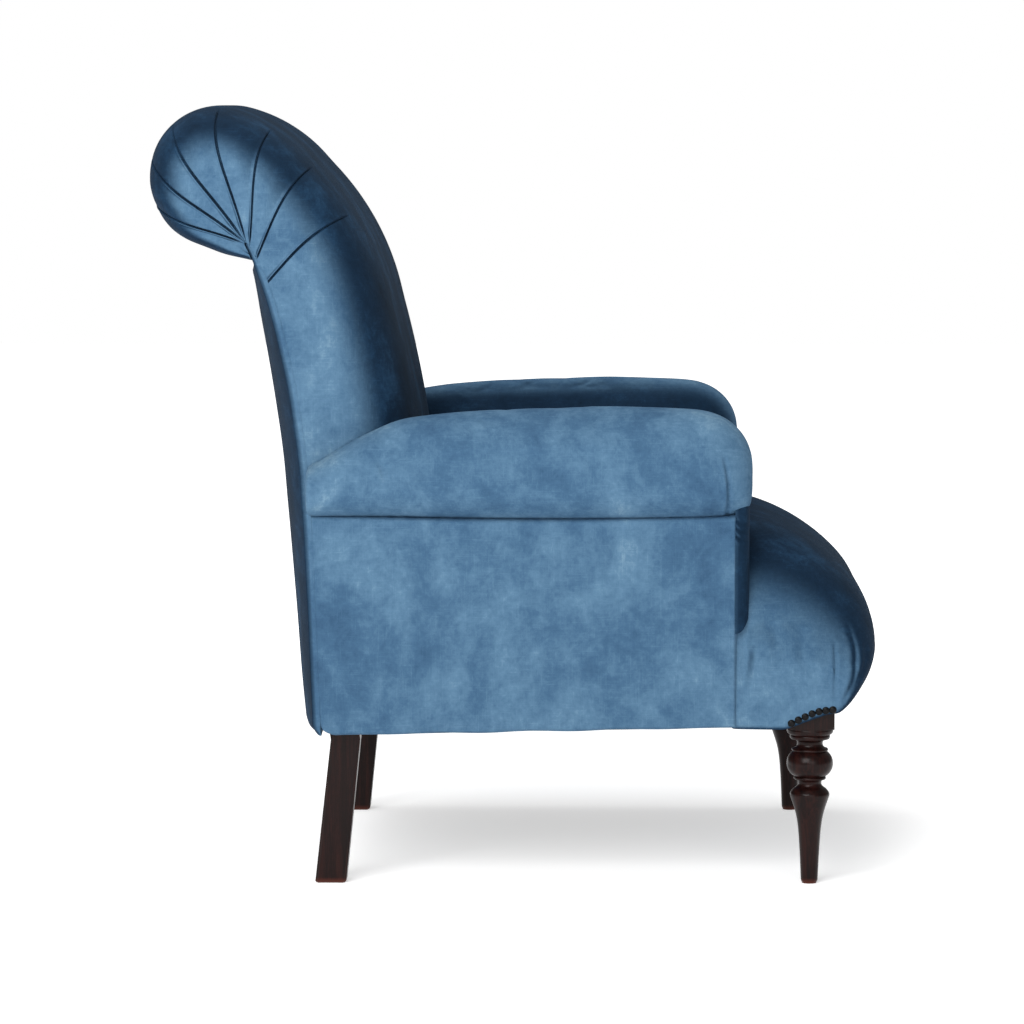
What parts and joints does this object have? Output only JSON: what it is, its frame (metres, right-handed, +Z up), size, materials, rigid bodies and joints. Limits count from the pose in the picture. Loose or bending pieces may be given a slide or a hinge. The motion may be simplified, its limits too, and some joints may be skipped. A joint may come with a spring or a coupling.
{
  "type": "upholstered armchair",
  "caption": "Scroll-back upholstered armchair with pleated scroll sides, rolled arms, sprung seat, turned front legs and raked rear legs.",
  "frame": {"origin": "on the floor at the centre of the chair's outline in plan", "axes": "+Z up, the chair faces -Y, X across the seat with the sitter's right hand at -X"},
  "size_m": [0.714, 0.9, 0.95],
  "materials": {
    "blue_velvet": "cotton velvet, short pile, mottled steel blue",
    "stained_beech": "turned beech, dark mahogany stain, satin lacquer",
    "raw_beech": "planed, unfinished",
    "nail_metal": "domed steel, black",
    "spring_steel": "drawn wire, oiled",
    "zinc_steel": "zinc plated",
    "jute_webbing": "woven jute strap",
    "hessian": "open woven jute",
    "millboard": "pressed board",
    "foam": "open-cell polyurethane foam",
    "black_cambric": "thin non-woven lining"
  },
  "bodies": {
    "root": {"arm_cover_left": "blue_velvet", "arm_cover_right": "blue_velvet", "arm_facing_left": "blue_velvet", "arm_facing_right": "blue_velvet", "arm_pad_left": "foam", "arm_pad_right": "foam", "arm_rail_left": "raw_beech", "arm_rail_right": "raw_beech", "arm_stump_left": "raw_beech", "arm_stump_right": "raw_beech", "arm_tack_rail_left": "raw_beech", "arm_tack_rail_right": "raw_beech", "back_cover": "blue_velvet", "back_foam": "foam", "back_hessian": "hessian", "back_post_left": "stained_beech", "back_post_right": "stained_beech", "back_tack_rail": "raw_beech", "back_webbing_cross": "jute_webbing", "back_webbing_upright": "jute_webbing", "corner_block_screws": "zinc_steel", "corner_blocks": "raw_beech", "crest_rail": "raw_beech", "dust_cover": "black_cambric", "frame_dowels": "raw_beech", "front_leg_left": "stained_beech", "front_leg_right": "stained_beech", "front_rail": "raw_beech", "leg_nails_left": "nail_metal", "leg_nails_right": "nail_metal", "neck_rail": "raw_beech", "outside_arm_left": "blue_velvet", "outside_arm_right": "blue_velvet", "outside_back": "blue_velvet", "rear_rail": "raw_beech", "scroll_board": "millboard", "scroll_former_left": "raw_beech", "scroll_former_right": "raw_beech", "scroll_front_rail": "raw_beech", "seat_cover": "blue_velvet", "seat_foam": "foam", "seat_hessian": "hessian", "seat_spring_1": "spring_steel", "seat_spring_2": "spring_steel", "seat_spring_3": "spring_steel", "seat_spring_4": "spring_steel", "seat_spring_5": "spring_steel", "side_rail_left": "raw_beech", "side_rail_right": "raw_beech", "spring_clips": "spring_steel"}
  },
  "joints": []
}
